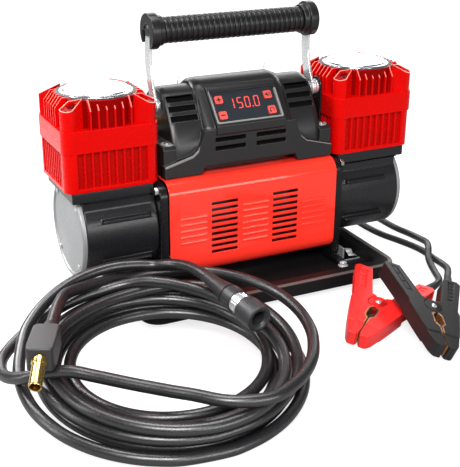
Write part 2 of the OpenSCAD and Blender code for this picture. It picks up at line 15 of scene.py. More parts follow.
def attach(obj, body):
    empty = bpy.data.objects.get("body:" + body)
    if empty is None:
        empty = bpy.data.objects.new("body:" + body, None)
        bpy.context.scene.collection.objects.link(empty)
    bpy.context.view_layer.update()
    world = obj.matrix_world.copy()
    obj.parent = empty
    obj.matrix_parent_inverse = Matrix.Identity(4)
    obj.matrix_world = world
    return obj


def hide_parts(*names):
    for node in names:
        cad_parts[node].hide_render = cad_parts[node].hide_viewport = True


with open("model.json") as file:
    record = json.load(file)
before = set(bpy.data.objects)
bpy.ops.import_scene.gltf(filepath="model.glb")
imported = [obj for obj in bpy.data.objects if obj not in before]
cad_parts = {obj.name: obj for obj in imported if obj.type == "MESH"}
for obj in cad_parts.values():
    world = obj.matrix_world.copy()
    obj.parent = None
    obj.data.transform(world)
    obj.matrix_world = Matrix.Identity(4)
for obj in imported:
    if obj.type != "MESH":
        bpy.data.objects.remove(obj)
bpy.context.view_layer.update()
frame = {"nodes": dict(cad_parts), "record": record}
NODES = frame["nodes"]
BODY_OF = {node: body for body, nodes in frame["record"]["behaviour"]["bodies"].items() for node in nodes}
SLOT_OF = {part["node"]: part["material_slot"] for part in frame["record"]["subparts"]}
MM = 0.001
Z_AXIS = Vector((0, 0, 1))
SIDES = ((-1, "left"), (1, "right"))
WHITE = (1, 1, 1, 1)


def metres(points):
    """A route written in millimetres, as vectors in metres."""
    return [Vector(p) * MM for p in points]


def shift(x, y, z):
    """A move given in millimetres."""
    return Matrix.Translation(Vector((x, y, z)) * MM)


def spin(degrees, axis):
    return Matrix.Rotation(radians(degrees), 4, axis)


def span(side, near, far):
    """The range from near to far on one side of the middle, in rising order."""
    return sorted((side * near, side * far))


def placed(name, data):
    """A new object in the scene."""
    item = bpy.data.objects.new(name, data)
    bpy.context.scene.collection.objects.link(item)
    return item


# ---------- camera, lights and floor ----------

def add_camera():
    eye, target, roll = Vector((-0.4256, -0.86025, 0.43097)), Vector((-0.0023, 0, 0.0358)), radians(0.4)
    back = (eye - target).normalized()
    level = Z_AXIS.cross(back).normalized()
    upright = back.cross(level)
    right = level * cos(roll) + upright * sin(roll)
    data = bpy.data.cameras.new("camera")
    data.lens, data.sensor_width = 76.66, 36
    camera = placed("camera", data)
    axes = Matrix((right, back.cross(right), back)).transposed().to_4x4()
    camera.matrix_world = Matrix.Translation(eye) @ axes
    bpy.context.scene.camera = camera


def add_light(name, place, aim, size, watts):
    data = bpy.data.lights.new(name, "AREA")
    data.shape, data.size, data.size_y = "RECTANGLE", size[0], size[1]
    data.energy = watts
    light = placed(name, data)
    light.location = place
    light.rotation_euler = (Vector(aim) - Vector(place)).to_track_quat("-Z", "Y").to_euler()


def remapped(tree, value, low, high, near=0.0, far=1.0):
    """The value, with its range from near to far spread from low to high."""
    node = tree.nodes.new("ShaderNodeMapRange")
    for key, number in (("From Min", near), ("From Max", far), ("To Min", low), ("To Max", high)):
        node.inputs[key].default_value = number
    tree.links.new(value, node.inputs["Value"])
    return node.outputs["Result"]


def lit_for_camera(tree, low, high, target):
    """Sends low to a socket where light falls on other things, and high where the camera looks."""
    looked_at = tree.nodes.new("ShaderNodeLightPath").outputs["Is Camera Ray"]
    tree.links.new(remapped(tree, looked_at, low, high), target)


def add_studio():
    middle = (0, 0, 0.1)
    add_light("key_softbox", (-0.75, -1.35, 1.25), middle, (0.8, 0.6), 36)
    add_light("front_fill", (0.3, -1.9, 0.55), middle, (1.4, 0.5), 17)
    add_light("top_softbox", (0, 0.1, 1.6), middle, (0.9, 0.7), 18)
    add_light("back_softbox", (0.95, 1.75, 1.0), (0, 0, 0.15), (2.6, 0.9), 26)
    add_light("left_floor", (-0.44, 0.36, 0.5), (-0.44, 0.36, 0), (0.4, 0.5), 9)
    add_light("left_strip", (-1.5, 0.1, 0.6), (0, 0, 0.12), (0.3, 1.1), 7)
    scene = bpy.context.scene
    world = bpy.data.worlds.new("studio")
    world.use_nodes = True
    sky = world.node_tree.nodes["Background"]
    sky.inputs["Color"].default_value = WHITE
    lit_for_camera(world.node_tree, 0.14, 1.05, sky.inputs["Strength"])
    scene.world = world
    scene.view_settings.view_transform = "Standard"
    mesh = bpy.data.meshes.new("floor")
    mesh.from_pydata([(-4, -4, 0), (4, -4, 0), (4, 4, 0), (-4, 4, 0)], [], [(0, 1, 2, 3)])
    floor = placed("floor", mesh)
    material = bpy.data.materials.new("floor")
    material.use_nodes = True
    shader = material.node_tree.nodes["Principled BSDF"]
    shader.inputs["Base Color"].default_value = (0.32, 0.32, 0.32, 1)
    shader.inputs["Roughness"].default_value = 0.7
    shader.inputs["Emission Color"].default_value = WHITE
    lit_for_camera(material.node_tree, 0.0, 0.78, shader.inputs["Emission Strength"])
    mesh.materials.append(material)


add_camera()
add_studio()


# ---------- materials ----------

class Nodes:
    """A material's node tree with short ways to add and link nodes."""

    def __init__(self, name):
        self.material = bpy.data.materials.new(name)
        self.material.use_nodes = True
        self.tree = self.material.node_tree
        self.shader = self.tree.nodes["Principled BSDF"]

    def add(self, kind, **values):
        node = self.tree.nodes.new(kind)
        for key, value in values.items():
            setattr(node, key, value)
        return node

    def link(self, source, target):
        self.tree.links.new(source, target)

    def place(self, stretch=(1, 1, 1)):
        coordinates = self.add("ShaderNodeTexCoord")
        mapping = self.add("ShaderNodeMapping")
        mapping.inputs["Scale"].default_value = stretch
        self.link(coordinates.outputs["Object"], mapping.inputs["Vector"])
        return mapping.outputs["Vector"]

    def noise(self, vector, scale, detail):
        noise = self.add("ShaderNodeTexNoise")
        noise.inputs["Scale"].default_value = scale
        noise.inputs["Detail"].default_value = detail
        self.link(vector, noise.inputs["Vector"])
        return noise.outputs["Fac"]

    def spread(self, value, low, high):
        """A noise's middle range spread from low to high."""
        return remapped(self.tree, value, low, high, 0.35, 0.65)

    def blend(self, factor, first, second):
        node = self.add("ShaderNodeMix", data_type="RGBA")
        self.link(factor, node.inputs["Factor"])
        node.inputs[6].default_value, node.inputs[7].default_value = (*first, 1), (*second, 1)
        return node.outputs[2]


GLOSS_DRIFT = 0.08  # how far the roughness wanders over a surface


def finish(name, colour, rough, metal=0.0, coat=0.0, sheen=0.0, grain=900, depth=0.02, stretch=(1, 1, 1),
           drift=0.12, specular=0.5, tint=(1, 1, 1), glow=0.0):
    """A solid finish: colour drift, uneven gloss and a surface grain of the given depth in millimetres."""
    n = Nodes(name)
    where = n.place(stretch)
    broad = n.noise(n.place(), 22, 2)
    fine = n.noise(where, grain, 4)
    base = n.blend(n.spread(broad, 0, 1), [c * (1 - drift) for c in colour], colour)
    n.link(base, n.shader.inputs["Base Color"])
    n.link(n.spread(fine, rough - GLOSS_DRIFT / 2, rough + GLOSS_DRIFT), n.shader.inputs["Roughness"])
    for socket, value in (("Metallic", metal), ("Coat Weight", coat), ("Coat Roughness", 0.06), ("Sheen Weight", sheen),
                          ("Specular IOR Level", specular), ("Specular Tint", (*tint, 1))):
        n.shader.inputs[socket].default_value = value
    if glow:
        n.shader.inputs["Emission Color"].default_value = (1, 0.08, 0.05, 1)
        n.shader.inputs["Emission Strength"].default_value = glow
    bump = n.add("ShaderNodeBump")
    bump.inputs["Strength"].default_value = 0.5
    bump.inputs["Distance"].default_value = depth * MM
    n.link(fine, bump.inputs["Height"])
    n.link(bump.outputs["Normal"], n.shader.inputs["Normal"])
    return n.material


def tone(red, green, blue, rough, **more):
    return dict(colour=(red, green, blue), rough=rough, **more)


SLOTS = {
    "tray_black": tone(0.006, 0.0055, 0.006, 0.42, specular=0.14, grain=700),
    "foot_rubber": tone(0.02, 0.02, 0.02, 0.7, sheen=0.1),
    "zinc": tone(0.85, 0.86, 0.87, 0.34, metal=0.65, grain=300, drift=0.2),
    "plate_grey": tone(0.006, 0.0055, 0.0065, 0.25, specular=0.3, grain=700),
    "cover_red": tone(0.95, 0.035, 0.02, 0.13, coat=0.4, grain=500, depth=0.004, drift=0.04, tint=(1, 0.45, 0.35)),
    "head_red": tone(0.58, 0.002, 0.0015, 0.22, grain=420, depth=0.004, drift=0.05, specular=0.75,
                     tint=(1, 0.05, 0.04)),
    "can_dark": tone(0.03, 0.03, 0.032, 0.4, metal=0.6),
    "magnet": tone(0.1, 0.1, 0.105, 0.6),
    "brush_board": tone(0.18, 0.08, 0.03, 0.6),
    "bearing_steel": tone(0.6, 0.6, 0.62, 0.25, metal=1),
    "case_black": tone(0.011, 0.0105, 0.012, 0.28, specular=0.35, grain=1100, depth=0.03),
    "cap_grey": tone(0.3, 0.305, 0.31, 0.45, metal=0.4, grain=500),
    "screw_steel": tone(0.62, 0.61, 0.58, 0.28, metal=1, drift=0.3),
    "sleeve_steel": tone(0.5, 0.5, 0.52, 0.25, metal=1, stretch=(1, 1, 8)),
    "disc_chrome": tone(0.72, 0.73, 0.76, 0.16, metal=1, grain=60, drift=0.15),
    "housing_black": tone(0.009, 0.009, 0.01, 0.33, specular=0.45, grain=1400, depth=0.05),
    "window_black": tone(0.018, 0.022, 0.028, 0.12, coat=0.5),
    "board_green": tone(0.01, 0.12, 0.03, 0.45),
    "key_coral": tone(0.62, 0.07, 0.055, 0.42),
    "bright_steel": tone(0.9, 0.91, 0.93, 0.2, metal=0.8, grain=200, depth=0.01),
    "brass": tone(0.82, 0.56, 0.18, 0.22, metal=1, stretch=(1, 1, 5), drift=0.25),
    "gland_rubber": tone(0.015, 0.015, 0.016, 0.55, sheen=0.1),
    "grip_rubber": tone(0.006, 0.0058, 0.0058, 0.34, grain=1500, depth=0.05, specular=0.4),
    "cap_black": tone(0.008, 0.0075, 0.0075, 0.32, specular=0.4),
    "shaft_steel": tone(0.6, 0.6, 0.62, 0.2, metal=1),
    "winding_copper": tone(0.45, 0.16, 0.06, 0.4, metal=0.7),
    "crank_iron": tone(0.3, 0.3, 0.32, 0.4, metal=1),
    "rod_alloy": tone(0.6, 0.6, 0.62, 0.4, metal=1),
    "piston_alloy": tone(0.65, 0.65, 0.67, 0.3, metal=1),
    "lead_jacket": tone(0.016, 0.016, 0.018, 0.4, grain=1200, depth=0.04),
    "clamp_red": tone(0.78, 0.012, 0.01, 0.34, coat=0.15, grain=1200, depth=0.03),
    "clamp_black": tone(0.011, 0.0105, 0.011, 0.36, specular=0.35, grain=1200, depth=0.04),
    "hose_rubber": tone(0.011, 0.0102, 0.0115, 0.31, grain=700, depth=0.012, specular=0.8),
    "fitting_black": tone(0.02, 0.02, 0.022, 0.4, grain=1200, depth=0.06),
}
LOOKS = {slot: finish(slot, **values) for slot, values in SLOTS.items()}
for node, carried in NODES.items():
    carried.data.materials.clear()
    carried.data.materials.append(LOOKS[SLOT_OF[node]])


# ---------- mesh helpers ----------

def settle(piece, slot, stands_for=(), body="machine", look=None):
    """Gives a finished piece its material, its body and the CAD nodes that it stands for."""
    piece.data.materials.clear()
    piece.data.materials.append(look or LOOKS[slot])
    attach(piece, body)
    if stands_for:
        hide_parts(*stands_for)
    return piece


def apply_modifiers(piece):
    bpy.context.view_layer.update()
    evaluated = piece.evaluated_get(bpy.context.evaluated_depsgraph_get())
    mesh = bpy.data.meshes.new_from_object(evaluated)
    piece.modifiers.clear()
    piece.data = mesh


def plain(name, bm):
    mesh = bpy.data.meshes.new(name)
    bm.to_mesh(mesh)
    bm.free()
    return placed(name, mesh)


def from_piece(piece):
    """Takes a piece apart again into a bmesh."""
    bm = bmesh.new()
    bm.from_mesh(piece.data)
    bpy.data.objects.remove(piece)
    return bm


def smoothed(piece, crease, weighted=True):
    """Smooth shading where faces meet at less than the crease angle."""
    piece.data.shade_smooth()
    piece.data.set_sharp_from_angle(angle=radians(crease))
    if weighted:
        piece.modifiers.new("normals", "WEIGHTED_NORMAL").keep_sharp = True
        apply_modifiers(piece)
    return piece


def shaded(name, bm, crease=36):
    return smoothed(plain(name, bm), crease)


def face_outward(bm):
    bmesh.ops.recalc_face_normals(bm, faces=bm.faces)


def solid(name, bm, bevel=0.0, segments=2, crease=32):
    """A mesh object from bm, with rounded edges and smooth shading where faces nearly agree."""
    face_outward(bm)
    piece = plain(name, bm)
    if bevel:
        modifier = piece.modifiers.new("bevel", "BEVEL")
        modifier.width, modifier.segments = bevel * MM, segments
        modifier.limit_method, modifier.angle_limit = "ANGLE", radians(crease)
        modifier.use_clamp_overlap = False
        apply_modifiers(piece)
    return smoothed(piece, crease + 8, bool(bevel))


SAME_SPOT = 1e-6  # in metres: vertices this close are one


def merged(bm, reach):
    """Joins the vertices closer than reach, in metres, and dissolves edges inside flat faces."""
    bmesh.ops.remove_doubles(bm, verts=bm.verts, dist=reach)
    bmesh.ops.dissolve_limit(bm, angle_limit=radians(0.8), verts=bm.verts, edges=bm.edges)
    return bm


def rounded_copy(node, bevel):
    """The CAD node's own shape with its edges rounded, standing for the node."""
    bm = bmesh.new()
    bm.from_mesh(NODES[node].data)
    piece = solid(node + "_finished", merged(bm, SAME_SPOT), bevel)
    return settle(piece, SLOT_OF[node], (node,), BODY_OF[node])


def turned(bm, profile, frame_matrix, sides=48):
    """Spins a profile of (along, radius) pairs, in millimetres, about the matrix's Z axis."""
    rings = []
    for along, radius in profile:
        spots = circle_outline(radius, sides=sides) if radius else [(0, 0)]
        rings.append([bm.verts.new(frame_matrix @ (Vector((x, y, along)) * MM)) for x, y in spots])
    for first, second in zip(rings, rings[1:]):
        for k in range(sides):
            loop = [first[k % len(first)], first[(k + 1) % len(first)],
                    second[(k + 1) % len(second)], second[k % len(second)]]
            loop = list(dict.fromkeys(loop))
            if len(loop) > 2:
                bm.faces.new(loop)
    for ring in (rings[0], rings[-1]):
        if len(ring) > 1:
            bm.faces.new(ring)


def frame_at(place, direction):
    """A matrix whose Z axis runs along direction from place (both in metres)."""
    z = Vector(direction).normalized()
    x = Z_AXIS.cross(z)
    x = x.normalized() if x.length > 1e-6 else z.orthogonal().normalized()
    return Matrix.Translation(place) @ Matrix((x, z.cross(x), z)).transposed().to_4x4()


def curve_at(points, i, t):
    """The Catmull-Rom curve through points, a share t of the way from point i to the next."""
    a, b, c, d = (points[min(max(i + k, 0), len(points) - 1)] for k in (-1, 0, 1, 2))
    return 0.5 * (2 * b + (c - a) * t + (2 * a - 5 * b + 4 * c - d) * t * t + (3 * b - a - 3 * c + d) * t ** 3)


def smooth_route(points, step=0.004):
    """Points about a step apart along the curve through a route."""
    out = []
    for i in range(len(points) - 1):
        count = max(2, round((points[i + 1] - points[i]).length / step))
        out += [curve_at(points, i, k / count) for k in range(count)]
    return out + [points[-1]]


# ---------- cords ----------

HOSE_D, LEAD_D = 0.010, 0.007


def cord_curve(name, points, diameter, slot, nodes):
    curve = bpy.data.curves.new(name, "CURVE")
    curve.dimensions = "3D"
    curve.bevel_depth, curve.bevel_resolution = diameter / 2, 6
    curve.use_fill_caps = True
    spline = curve.splines.new("POLY")
    spline.points.add(len(points) - 1)
    for target, point in zip(spline.points, points):
        target.co = (*point, 1)
    spline.use_smooth = True
    return settle(placed(name, curve), slot, nodes)


def route_length(points):
    return sum((b - a).length for a, b in zip(points, points[1:]))


# Each turn of a lead coil lies in its own slot of the bundle: radius and height in mm
LEAD_SLOTS = [(45.1, 3.6), (38, 3.6), (30.9, 3.6), (30.9, 10.8), (38, 10.8), (45.1, 10.8), (38, 18), (45.1, 18)]
SHIFT_SHARE = 0.18  # the last part of a turn, where it moves to the next slot


def coil_points(centre, turns, slots, direction, start=-90, step=12):
    """The turns of a lead coil: each keeps its slot, then moves over at its end."""
    points = []
    for k in range(round(turns * 360 / step) + 1):
        turn, share = divmod(k * step / 360, 1)
        here = slots[min(int(turn), len(slots) - 1)]
        after = slots[min(int(turn) + 1, len(slots) - 1)]
        move = max(0, (share - 1 + SHIFT_SHARE) / SHIFT_SHARE)
        move = move * move * (3 - 2 * move)
        radius, height = (a + (b - a) * move for a, b in zip(here, after))
        angle = radians(start + direction * k * step)
        points.append(Vector((centre[0] + radius * cos(angle), centre[1] + radius * sin(angle), height)) * MM)
    return points


RED_START = [(24, 70, 34), (24, 88, 33), (24, 104, 28), (22, 116, 18.5), (16, 126, 9.5), (4, 133, 4.8), (-12, 136, 3.6)]
RED_END = [
    (0, 225, 18), (14, 227, 16.5), (38, 232, 9.5), (70, 238, 4), (110, 239, 3.6), (148, 230, 3.6), (178, 208, 3.6),
    (197, 175, 3.6), (208, 135, 3.6), (212, 95, 3.6), (211, 60, 3.6), (211, 29, 3.6), (212, 5, 3.6),
    (216, -17, 3.6), (214, -42, 6.5), (207, -60, 10.8), (198, -75, 11.5), (187, -90, 9), (180.5, -104, 7),
    (174.5, -119, 6), (167.5, -134, 7), (156.8, -147, 10.3), (142.7, -156.3, 12.2), (128.6, -162.5, 12)]
BLACK_START = [(36, 70, 34), (36, 88, 33), (37, 104, 28), (42, 116, 18.5), (52, 125, 9.5), (66, 130, 4.8),
               (96, 133.5, 3.6)]
BLACK_END = [
    (110, 135, 18), (122, 135.5, 17.5), (138, 134, 13), (154, 128, 7), (168, 115, 4), (179, 92, 3.6), (183, 60, 3.6),
    (183, 25, 3.6), (186, -3, 3.6), (194, -30, 3.6), (199, -51, 3.6), (200, -68, 3.6), (198, -86, 4),
    (194.5, -104, 6), (187.5, -121, 9.5), (176.5, -136.5, 13.3), (164.2, -151, 16.3), (156.4, -161.1, 17.8),
    (147.9, -171.4, 18)]


def make_leads():
    red_slots = LEAD_SLOTS[:6] + [LEAD_SLOTS[7]] * 2
    red = metres(RED_START[:-1]) + coil_points((0, 180), 7.5, red_slots, -1)[1:-1] + metres(RED_END)
    black = metres(BLACK_START) + coil_points((110, 180), 8, LEAD_SLOTS, 1)[:-1] + metres(BLACK_END)
    cords = []
    for colour, route, exit_point in (("red", red, RED_START[0]), ("black", black, BLACK_START[0])):
        points = smooth_route(route)
        piece = cord_curve(colour + "_lead", points, LEAD_D, "lead_jacket",
                           [f"{colour}_lead_{part}" for part in ("start", "coil", "end")])
        cords.append((piece, Vector(exit_point) * MM, route_length(points)))
    return cords


# The hose winds anticlockwise about this centre, on a plane that tips up onto the tray rim:
# each point is the angle wound, the radius and the height above that plane
HOSE_CENTRE_Y, HOSE_FOOT, HOSE_TILT = 0.123, Vector((-0.155, -0.315, 0)), radians(5.6)
HOSE_STEP = 11  # degrees between points
HOSE_START = [(-96, -152, 66), (-98, -136, 66.5), (-102, -118, 65.5), (-110, -100, 62)]
HOSE_FALL = [(73, 113, 36), (90, 115, 38), (110, 116.5, 36), (130, 117.5, 30), (150, 118.5, 22), (165, 119, 14.5),
             (182, 119, 8), (205, 118.5, 5.5), (235, 118, 5)]
# radius at the front, right, back and left of each lying turn, then the heights
HOSE_TURNS = [
    ((117, 112, 104, 103), (5, 5, 5, 5)),
    ((104, 100, 92, 91), (5, 5, 5, 5)),
    ((92, 88, 80, 79), (5, 5, 5, 9)),
    ((82, 84, 89, 91), (15, 15, 15, 15)),
    ((95, 98, 100, 104.5), (15, 15, 15, 15)),
]
HOSE_TOP = [
    (2070, 109, 15), (2115, 108, 17), (2160, 106, 21), (2205, 101, 25), (2228, 93, 25), (2250, 86, 25),
    (2275, 85, 25), (2300, 90, 25), (2340, 97, 25), (2385, 106, 25.5), (2430, 113, 27), (2460, 108, 30),
    (2490, 92, 33), (2520, 78, 33), (2545, 75, 34), (2570, 77, 35), (2588, 83, 35), (2600, 89.5, 34),
    (2610, 96, 29.5), (2620, 101, 26), (2632, 107, 23), (2646, 115, 18), (2658, 123, 12.5), (2669, 130, 9.5),
    (2679, 134, 9.5), (2690, 131, 14), (2699, 120, 23), (2706, 105, 32.5), (2714, 91, 36.5), (2724, 81, 36),
    (2740, 74.5, 36), (2760, 74.5, 36), (2780, 85, 37), (2794, 103, 38), (2808, 116, 38), (2830, 119, 37),
    (2855, 119, 36), (2885, 119, 35), (2915, 119, 32), (2945, 117, 28), (2965, 113, 26), (2975, 109, 29.5),
    (2986, 104, 34.5)]
HOSE_END = [(-208, -108, 58), (-225, -133, 62.5), (-237, -156, 61.5), (-247, -178, 60)]


def hose_point(angle, radius, height):
    a = radians(angle)
    flat = Vector((radius * cos(a) * MM, HOSE_CENTRE_Y + radius * sin(a) * MM, height * MM))
    return HOSE_FOOT + Matrix.Rotation(HOSE_TILT, 3, "X") @ flat


def hose_route():
    wound = list(HOSE_FALL)
    for turn, (radii, heights) in enumerate(HOSE_TURNS):
        wound += [(270 + 360 * turn + 90 * k, radii[k], heights[k]) for k in range(4)]
    wound += HOSE_TOP
    wound, even = [Vector(p) for p in wound], []
    for i in range(len(wound) - 1):
        count = max(1, round((wound[i + 1].x - wound[i].x) / HOSE_STEP))
        even += [curve_at(wound, i, k / count) for k in range(count)]
    return metres(HOSE_START) + [hose_point(*p) for p in even] + metres(HOSE_END)


def make_hose():
    points = smooth_route(hose_route())
    piece = cord_curve("air_hose", points, HOSE_D, "hose_rubber", ["hose_start", "hose_coil", "hose_end"])
    return piece, points[0], route_length(points)


LEADS = make_leads()
HOSE = make_hose()

# ---------- shapes for the castings ----------

def made(make, *values, **named):
    """A new bmesh that holds one shape."""
    bm = bmesh.new()
    make(bm, *values, **named)
    return bm


def skirt(bm, first, second, closed=False):
    """The faces between two loops of as many vertices, and the loops themselves if closed."""
    faces = [bm.faces.new(first), bm.faces.new(second)] if closed else []
    ring = list(zip(first, second))
    return faces + [bm.faces.new((a, b, d, c)) for (a, c), (b, d) in zip(ring, ring[1:] + ring[:1])]


def prism(bm, outline, low, high, axis="Z", matrix=Matrix()):
    """An outline in millimetres extruded along an axis: [x, y] along Z, [y, z] along X, [x, z] along Y."""
    def spot(p, h):
        at = {"Z": (p[0], p[1], h), "X": (h, p[0], p[1]), "Y": (p[0], h, p[1])}[axis]
        return matrix @ (Vector(at) * MM)
    base, top = ([bm.verts.new(spot(p, h)) for p in outline] for h in (low, high))
    bmesh.ops.recalc_face_normals(bm, faces=skirt(bm, base, top, True))


def rounded_outline(width, depth, radius, at=(0, 0), steps=6):
    points = []
    for sx, sy, first in ((1, 1, 0), (-1, 1, 90), (-1, -1, 180), (1, -1, 270)):
        centre = (at[0] + sx * (width / 2 - radius), at[1] + sy * (depth / 2 - radius))
        points += ring_points(centre, radius, first, first + 90, steps)
    return points


def ring_points(centre, radius, first, last, steps=10):
    """Points round a centre from one angle to another, both included."""
    angles = [radians(first + (last - first) * k / steps) for k in range(steps + 1)]
    return [(centre[0] + radius * cos(a), centre[1] + radius * sin(a)) for a in angles]


def box_outline(x0, x1, y0, y1):
    return [(x0, y0), (x1, y0), (x1, y1), (x0, y1)]


def circle_outline(radius, at=(0, 0), sides=48):
    return ring_points(at, radius, 0, 360, sides)[:-1]


def loft(bm, outline, stations, centre):
    """Joins copies of a [y, z] outline along X: each station is x and the outline's scale about centre."""
    rings = [[bm.verts.new(Vector((x, centre[0] + (y - centre[0]) * k, centre[1] + (z - centre[1]) * k)) * MM)
              for y, z in outline] for x, k in stations]
    for first, second in zip(rings, rings[1:]):
        skirt(bm, first, second)
    bm.faces.new(rings[0])
    bm.faces.new(rings[-1])
    face_outward(bm)


def combine(piece, other_bm, operation="DIFFERENCE"):
    """Cuts the closed shape other_bm out of a piece, or joins it on."""
    other = plain("cutter", other_bm)
    modifier = piece.modifiers.new("combine", "BOOLEAN")
    modifier.object, modifier.operation, modifier.solver = other, operation, "EXACT"
    modifier.use_self = True
    apply_modifiers(piece)
    bpy.data.objects.remove(other)
    return piece


def polished(piece, bevel, segments=2, crease=32):
    """Cleans a combined piece, then rounds its edges."""
    name = piece.name
    return solid(name, merged(from_piece(piece), 2 * SAME_SPOT), bevel, segments, crease)


# ---------- heads and cylinders ----------

STACK_X = 141
CYLINDER_BASE, CYLINDER_TOP = 119.6, 157
FIN_BASE, SHOULDER, FIN_TOP = 177, 195, 203.8
FINS = (("X", 40.6, 7.7), ("Y", 45.1, 6.8))  # the axis across the fins, their half length and their spacing
FACET = Vector((0.327, 0.326, 0.887)).normalized()
FACET_AT = Vector((45.3, 31.9, 197.3))
SOCKET = Vector((34.6, 32.9, 0))
SOCKET.z = FACET_AT.z + (FACET.x * (FACET_AT.x - SOCKET.x) + FACET.y * (FACET_AT.y - SOCKET.y)) / FACET.z


def facet_hole():
    return made(turned, [(-7, 0), (-7, 4.1), (4, 4.1), (4, 0)], frame_at(SOCKET * MM, FACET), 24)


def facet_loop(bm, corners, height):
    """The corners of a facet, lifted off it by a height in millimetres."""
    return [bm.verts.new(c + FACET * height * MM) for c in corners]


def make_post():
    """A corner post of a head, its top cut to a facet; the floor of that facet, which takes painted shade; and its
    raised rim, which takes a painted highlight.
    """
    footprint = ring_points((35.7, 31.2), 9.8, 2, 88, 10) + [(24, 32.3), (35.2, 26.6)]
    post = made(prism, footprint, FIN_BASE, 212)
    section = bmesh.ops.bisect_plane(post, geom=post.verts[:] + post.edges[:] + post.faces[:], clear_outer=True,
                                     plane_co=FACET_AT * MM, plane_no=FACET)
    bmesh.ops.holes_fill(post, edges=[e for e in section["geom_cut"] if isinstance(e, bmesh.types.BMEdge)])
    face_outward(post)
    facet = max((f for f in post.faces if f.normal.dot(FACET) > 0.99), key=lambda f: f.calc_area())
    outer = [v.co.copy() for v in facet.verts]
    bmesh.ops.inset_individual(post, faces=[facet], thickness=0.85 * MM)
    inner = [v.co.copy() for v in facet.verts]
    rim = bmesh.new()
    loops = [facet_loop(rim, *ring) for ring in ((outer, -0.3), (outer, 0.12), (inner, 0.12), (inner, -0.3))]
    for first, second in zip(loops, loops[1:] + loops[:1]):
        skirt(rim, first, second)
    face_outward(rim)
    bmesh.ops.inset_individual(post, faces=[facet], thickness=0.2 * MM, depth=-1.3 * MM)
    corners = [v.co.copy() for v in facet.verts]
    floor = bmesh.new()
    low, high = facet_loop(floor, corners, -0.4), facet_loop(floor, corners, 0.15)
    skirt(floor, low, high, True)
    face_outward(floor)
    return [combine(plain("post", post), facet_hole()), combine(plain("facet_floor", floor), facet_hole()),
            plain("facet_highlight_rim", rim)]


def quarters():
    return [Matrix.Diagonal((sx, sy, 1, 1)) for sx in (1, -1) for sy in (1, -1)]


def add_to_quarters(bm, source):
    """Adds a piece's mesh once for each quarter of a head."""
    for quarter in quarters():
        mesh = source.data.copy()
        mesh.transform(quarter)
        if quarter.determinant() < 0:
            mesh.flip_normals()
        bm.from_mesh(mesh)
        bpy.data.meshes.remove(mesh)


def fin_outline(half):
    return [(-half, FIN_BASE), (half, FIN_BASE), (half, SHOULDER), (half - 6.8, FIN_TOP), (6.8 - half, FIN_TOP),
            (-half, SHOULDER)]


def make_head(side, name, post, facet_floor, rim):
    """The banded, finned head, with pale rims of painted highlight where its edges catch the light and a core in a
    darker red, painted shade between the fins.
    """
    place = shift(side * STACK_X, 0, 0)
    band = polished(plain("band", made(prism, rounded_outline(93, 84, 10, steps=8), CYLINDER_TOP, 178)), 0.6)
    fins = bmesh.new()
    for axis, half, gap in FINS:
        for i in range(6):
            at = (i - 2.5) * gap
            prism(fins, fin_outline(half), at - 0.9, at + 0.9, axis)
    add_to_quarters(fins, post)
    joined = bmesh.new()
    for part in (band, solid("fins", fins, 0.35, 1, 30)):
        joined.from_mesh(part.data)
        bpy.data.objects.remove(part)
    joined.transform(place)
    settle(shaded(name + "_head_finished", joined), "head_red", (name + "_head",))
    # pale strips along the fin tops' chamfers and the facets' rims: painted highlight where the edges catch the light
    rims = bmesh.new()
    add_to_quarters(rims, rim)
    for quarter in quarters():
        for axis, half, gap in FINS:
            for i in range(3):
                at = gap * (i + 0.5)
                prism(rims, [(half + 0.1, 194.9), (half - 6.7, 203.95), (half - 7.4, 203.6), (half - 0.6, 194.6)],
                      at - 0.45, at + 0.45, axis, matrix=quarter)
    rims.transform(place)
    settle(solid(name + "_head_highlight_rims", rims), "head_red", look=PAINTED_HIGHLIGHT_PINK)
    # the core, its ring wall and the facet floors take a darker red: painted shade between the fins and in the facets'
    # recesses
    core = made(prism, rounded_outline(74, 65, 8), 176, 197.5)
    turned(core, [(176, 0), (176, 38.8), (202.6, 38.8), (203.4, 38), (203.4, 37), (199, 37), (199, 0)],
           Matrix(), 96)
    add_to_quarters(core, facet_floor)
    core.transform(place)
    settle(solid(name + "_head_core", core, 0.35, 1, 30), "head_red", look=PAINTED_SHADE_RED)


def make_cylinder(side, name):
    """The finned cylinder: a core with corner posts, ridges down each face and a foot round the bottom."""
    place = shift(side * STACK_X, 0, 0)
    low = CYLINDER_BASE
    # the core shows between the ridges in a darker red: painted shade in the flutes
    core = plain("core", made(prism, rounded_outline(85, 75.4, 8), low - 0.1, CYLINDER_TOP))
    core = from_piece(combine(core, made(prism, circle_outline(28.1), 110, 160)))
    core.transform(place)
    settle(solid(name + "_cylinder_core", core, 0.4), "head_red", look=FLUTE_PAINTED_SHADE)
    rest = bmesh.new()
    corner = [(45.5, 28.5)] + ring_points((35.6, 31.1), 9.9, 0, 90, 10) + [(33.8, 41), (31, 34), (36, 28.5)]
    for quarter in quarters():
        prism(rest, corner, low, CYLINDER_TOP, matrix=quarter)
    for s in (1, -1):
        behind, across = Matrix.Diagonal((1, s, 1, 1)), Matrix.Diagonal((s, 1, 1, 1))
        for i in range(8):
            x = (i - 3.5) * 7.6
            ridge = [(x - 1.9, 34), (x + 1.9, 34), (x + 1.0, 40.4), (x - 1.0, 40.4)]
            prism(rest, ridge, low + 0.4, CYLINDER_TOP, matrix=behind)
        for i in range(9):
            y = (i - 4) * 6
            prism(rest, box_outline(36, 44.9, y - 0.95, y + 0.95), low + 0.4, CYLINDER_TOP, matrix=across)
        prism(rest, box_outline(-34, 34, 34, 40.9), low, 123.5, matrix=behind)
        prism(rest, box_outline(36, 45.4, -29, 29), low, 123.5, matrix=across)
    rest.transform(place)
    settle(solid(name + "_cylinder_finished", rest, 0.6), "head_red", (name + "_cylinder",))


